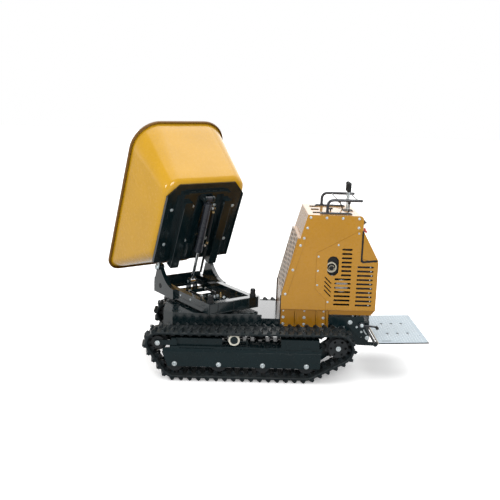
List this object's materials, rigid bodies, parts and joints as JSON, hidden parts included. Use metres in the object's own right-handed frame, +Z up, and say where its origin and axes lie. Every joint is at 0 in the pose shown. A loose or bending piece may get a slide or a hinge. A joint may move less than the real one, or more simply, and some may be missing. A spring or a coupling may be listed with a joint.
{
  "type": "power wheelbarrow",
  "caption": "Tracked power wheelbarrow with a swivelling tip bucket, a louvred engine hood with hand levers and a fold-up standing platform.",
  "frame": {"origin": "where the slew axis meets the top of the deck, in the centre bore of the slew ring", "axes": "+X towards the operator at the rear, +Y towards the machine's right, +Z up; the ground is 0.434 m below the origin"},
  "size_m": [2.3783, 1.4015, 1.7282],
  "materials": {
    "ochre_paint": "satin powder coat with light dust",
    "green_black_paint": "satin paint",
    "track_rubber": "matte moulded rubber",
    "black_rubber": "matte",
    "dark_cast": "rough cast, painted dark",
    "cream_nylon": "matte moulded",
    "zinc_steel": "zinc plated",
    "chromed_rod": "hard chrome",
    "tread_plate": "five-bar tread plate",
    "black_plastic": "moulded",
    "red_plastic": "gloss",
    "aluminised_steel": "heat dulled"
  },
  "bodies": {
    "chassis": {"chassis_frame": "green_black_paint", "deck_box": "green_black_paint", "slew_ring_lower": "green_black_paint", "track_frame_left": "green_black_paint", "track_frame_right": "green_black_paint", "belt_left": "track_rubber", "belt_right": "track_rubber", "side_covers": "green_black_paint", "tensioners": "green_black_paint", "drive_motors": "dark_cast", "hood_left": "ochre_paint", "hood_right": "ochre_paint", "hood_top": "ochre_paint", "hood_front": "ochre_paint", "front_mesh": "ochre_paint", "hood_rear": "ochre_paint", "skirt": "ochre_paint", "rear_console": "ochre_paint", "engine": "dark_cast", "muffler": "aluminised_steel", "fuel_tank": "black_plastic", "hydraulic_tank": "green_black_paint", "battery": "black_plastic", "grab_handles": "green_black_paint", "lever_bracket": "green_black_paint", "platform_bracket": "green_black_paint"},
    "turntable": {"turntable_frame": "green_black_paint", "slew_ring_upper": "green_black_paint", "bump_stops": "black_rubber", "hinge_pins": "zinc_steel", "hoses": "black_rubber"},
    "bucket": {"tub": "ochre_paint", "tub_frame": "green_black_paint"},
    "tip_ram_rod": {"ram_rod": "chromed_rod"},
    "tip_ram_barrel": {"ram_barrel": "green_black_paint"},
    "left_drive_lever": {"drive_lever_left": "zinc_steel", "grip_left": "black_rubber"},
    "right_drive_lever": {"drive_lever_right": "zinc_steel", "grip_right": "black_rubber"},
    "throttle": {"throttle_lever": "black_plastic"},
    "tip_valve_lever": {"tip_lever": "black_plastic"},
    "parking_knob": {"park_knob": "black_plastic"},
    "key_switch": {"key_knob": "black_plastic"},
    "stop_switch": {"stop_button": "red_plastic"},
    "standing_platform": {"platform": "tread_plate"},
    "pedal": {"foot_pedal": "green_black_paint"},
    "left_sprocket": {"sprocket_left": "dark_cast"},
    "left_idler": {"idler_left": "dark_cast"},
    "left_carrier": {"carrier_left": "cream_nylon"},
    "left_roller_1": {"roller_left_1": "dark_cast"},
    "left_roller_2": {"roller_left_2": "dark_cast"},
    "left_roller_3": {"roller_left_3": "dark_cast"},
    "left_roller_4": {"roller_left_4": "dark_cast"},
    "right_sprocket": {"sprocket_right": "dark_cast"},
    "right_idler": {"idler_right": "dark_cast"},
    "right_carrier": {"carrier_right": "cream_nylon"},
    "right_roller_1": {"roller_right_1": "dark_cast"},
    "right_roller_2": {"roller_right_2": "dark_cast"},
    "right_roller_3": {"roller_right_3": "dark_cast"},
    "right_roller_4": {"roller_right_4": "dark_cast"}
  },
  "joints": [
    {"name": "slew", "type": "hinge", "parent": "chassis", "child": "turntable", "pos_m": [0, 0, 0], "axis": [0, 0, 1], "range_deg": [-35, 145]},
    {"name": "tip", "type": "hinge", "parent": "turntable", "child": "bucket", "pos_m": [-0.21681, 0.30964, 0.221], "axis": [0.8192, 0.5736, 0], "range_deg": [0, 68]},
    {"name": "ram_swing", "type": "hinge", "parent": "turntable", "child": "tip_ram_rod", "pos_m": [-0.1606, 0.22936, 0.106], "axis": [0.8192, 0.5736, 0], "range_deg": [0, 68.9]},
    {"name": "ram_stroke", "type": "slide", "parent": "tip_ram_rod", "child": "tip_ram_barrel", "axis": [0.1791, -0.2557, 0.95], "range_m": [-0.16924, 0]},
    {"name": "left_sprocket_turn", "type": "hinge", "parent": "chassis", "child": "left_sprocket", "pos_m": [0.892, -0.345, -0.184], "axis": [0, 1, 0], "continuous": true},
    {"name": "left_idler_turn", "type": "hinge", "parent": "chassis", "child": "left_idler", "pos_m": [-0.352, -0.345, -0.171], "axis": [0, 1, 0], "continuous": true},
    {"name": "left_carrier_turn", "type": "hinge", "parent": "chassis", "child": "left_carrier", "pos_m": [0.172, -0.345, -0.139], "axis": [0, 1, 0], "continuous": true},
    {"name": "left_roller_1_turn", "type": "hinge", "parent": "chassis", "child": "left_roller_1", "pos_m": [-0.2335, -0.345, -0.3136], "axis": [0, 1, 0], "continuous": true},
    {"name": "left_roller_2_turn", "type": "hinge", "parent": "chassis", "child": "left_roller_2", "pos_m": [0.0695, -0.345, -0.3136], "axis": [0, 1, 0], "continuous": true},
    {"name": "left_roller_3_turn", "type": "hinge", "parent": "chassis", "child": "left_roller_3", "pos_m": [0.3725, -0.345, -0.3136], "axis": [0, 1, 0], "continuous": true},
    {"name": "left_roller_4_turn", "type": "hinge", "parent": "chassis", "child": "left_roller_4", "pos_m": [0.6755, -0.345, -0.3136], "axis": [0, 1, 0], "continuous": true},
    {"name": "right_sprocket_turn", "type": "hinge", "parent": "chassis", "child": "right_sprocket", "pos_m": [0.892, 0.345, -0.184], "axis": [0, 1, 0], "continuous": true},
    {"name": "right_idler_turn", "type": "hinge", "parent": "chassis", "child": "right_idler", "pos_m": [-0.352, 0.345, -0.171], "axis": [0, 1, 0], "continuous": true},
    {"name": "right_carrier_turn", "type": "hinge", "parent": "chassis", "child": "right_carrier", "pos_m": [0.172, 0.345, -0.139], "axis": [0, 1, 0], "continuous": true},
    {"name": "right_roller_1_turn", "type": "hinge", "parent": "chassis", "child": "right_roller_1", "pos_m": [-0.2335, 0.345, -0.3136], "axis": [0, 1, 0], "continuous": true},
    {"name": "right_roller_2_turn", "type": "hinge", "parent": "chassis", "child": "right_roller_2", "pos_m": [0.0695, 0.345, -0.3136], "axis": [0, 1, 0], "continuous": true},
    {"name": "right_roller_3_turn", "type": "hinge", "parent": "chassis", "child": "right_roller_3", "pos_m": [0.3725, 0.345, -0.3136], "axis": [0, 1, 0], "continuous": true},
    {"name": "right_roller_4_turn", "type": "hinge", "parent": "chassis", "child": "right_roller_4", "pos_m": [0.6755, 0.345, -0.3136], "axis": [0, 1, 0], "continuous": true},
    {"name": "left_drive_lever_push", "type": "hinge", "parent": "chassis", "child": "left_drive_lever", "pos_m": [0.956, -0.035, 0.666], "axis": [0, 1, 0], "range_deg": [-12, 12], "stiffness_Nm_per_rad": 6},
    {"name": "right_drive_lever_push", "type": "hinge", "parent": "chassis", "child": "right_drive_lever", "pos_m": [0.956, 0.035, 0.666], "axis": [0, 1, 0], "range_deg": [-12, 12], "stiffness_Nm_per_rad": 6},
    {"name": "throttle_push", "type": "hinge", "parent": "chassis", "child": "throttle", "pos_m": [0.956, 0.075, 0.666], "axis": [0, 1, 0], "range_deg": [-18, 24]},
    {"name": "tip_lever_push", "type": "hinge", "parent": "chassis", "child": "tip_valve_lever", "pos_m": [0.956, -0.075, 0.666], "axis": [0, 1, 0], "range_deg": [-14, 14], "stiffness_Nm_per_rad": 3},
    {"name": "parking_knob_pull", "type": "slide", "parent": "chassis", "child": "parking_knob", "axis": [0, 0, 1], "range_m": [0, 0.012]},
    {"name": "key_turn", "type": "hinge", "parent": "chassis", "child": "key_switch", "pos_m": [1.038, -0.2, 0.67], "axis": [1, 0, 0], "range_deg": [-45, 45]},
    {"name": "stop_press", "type": "slide", "parent": "chassis", "child": "stop_switch", "axis": [-0.8759, 0, -0.4825], "range_m": [0, 0.006], "stiffness_N_per_m": 1500, "springref_m": -0.003},
    {"name": "platform_fold", "type": "hinge", "parent": "chassis", "child": "standing_platform", "pos_m": [1.176, 0, -0.198], "axis": [0, -1, 0], "range_deg": [0, 60]},
    {"name": "pedal_press", "type": "hinge", "parent": "chassis", "child": "pedal", "pos_m": [1.069, -0.252, -0.057], "axis": [0, 1, 0], "range_deg": [0, 18], "stiffness_Nm_per_rad": 4, "springref_deg": -17.19}
  ],
  "couplings": [
    {"joint": "ram_swing", "follows": "tip", "ratio": 1.0125},
    {"joint": "ram_stroke", "follows": "tip", "m_per_rad": -0.14218},
    {"joint": "left_roller_1_turn", "follows": "left_sprocket_turn", "ratio": 1.66},
    {"joint": "left_roller_2_turn", "follows": "left_sprocket_turn", "ratio": 1.66},
    {"joint": "left_roller_3_turn", "follows": "left_sprocket_turn", "ratio": 1.66},
    {"joint": "left_roller_4_turn", "follows": "left_sprocket_turn", "ratio": 1.66},
    {"joint": "left_idler_turn", "follows": "left_sprocket_turn", "ratio": 1.3369},
    {"joint": "left_carrier_turn", "follows": "left_sprocket_turn", "ratio": 2.5343},
    {"joint": "right_roller_1_turn", "follows": "right_sprocket_turn", "ratio": 1.66},
    {"joint": "right_roller_2_turn", "follows": "right_sprocket_turn", "ratio": 1.66},
    {"joint": "right_roller_3_turn", "follows": "right_sprocket_turn", "ratio": 1.66},
    {"joint": "right_roller_4_turn", "follows": "right_sprocket_turn", "ratio": 1.66},
    {"joint": "right_idler_turn", "follows": "right_sprocket_turn", "ratio": 1.3369},
    {"joint": "right_carrier_turn", "follows": "right_sprocket_turn", "ratio": 2.5343}
  ]
}
